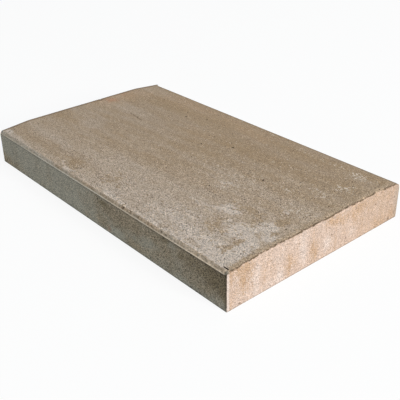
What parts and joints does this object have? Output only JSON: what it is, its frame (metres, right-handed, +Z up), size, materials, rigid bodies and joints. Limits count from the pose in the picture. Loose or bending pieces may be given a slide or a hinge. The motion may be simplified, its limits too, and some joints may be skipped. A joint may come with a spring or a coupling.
{
  "type": "wall coping stone",
  "caption": "Cast concrete coping stone that caps a free-standing wall: flat crown, margins that fall to both long sides with a small ledge and arris, flat bed and square butt ends.",
  "frame": {"origin": "middle of the flat bed, on the underside", "axes": "+X along the wall, +Y across it, +Z up through the crown"},
  "size_m": [0.5, 0.3, 0.0535],
  "materials": {
    "cast_concrete": "matt, fine sandy grain with small pores, beige to taupe with paler grey bloom"
  },
  "bodies": {
    "root": {"coping_stone": "cast_concrete"}
  },
  "joints": []
}
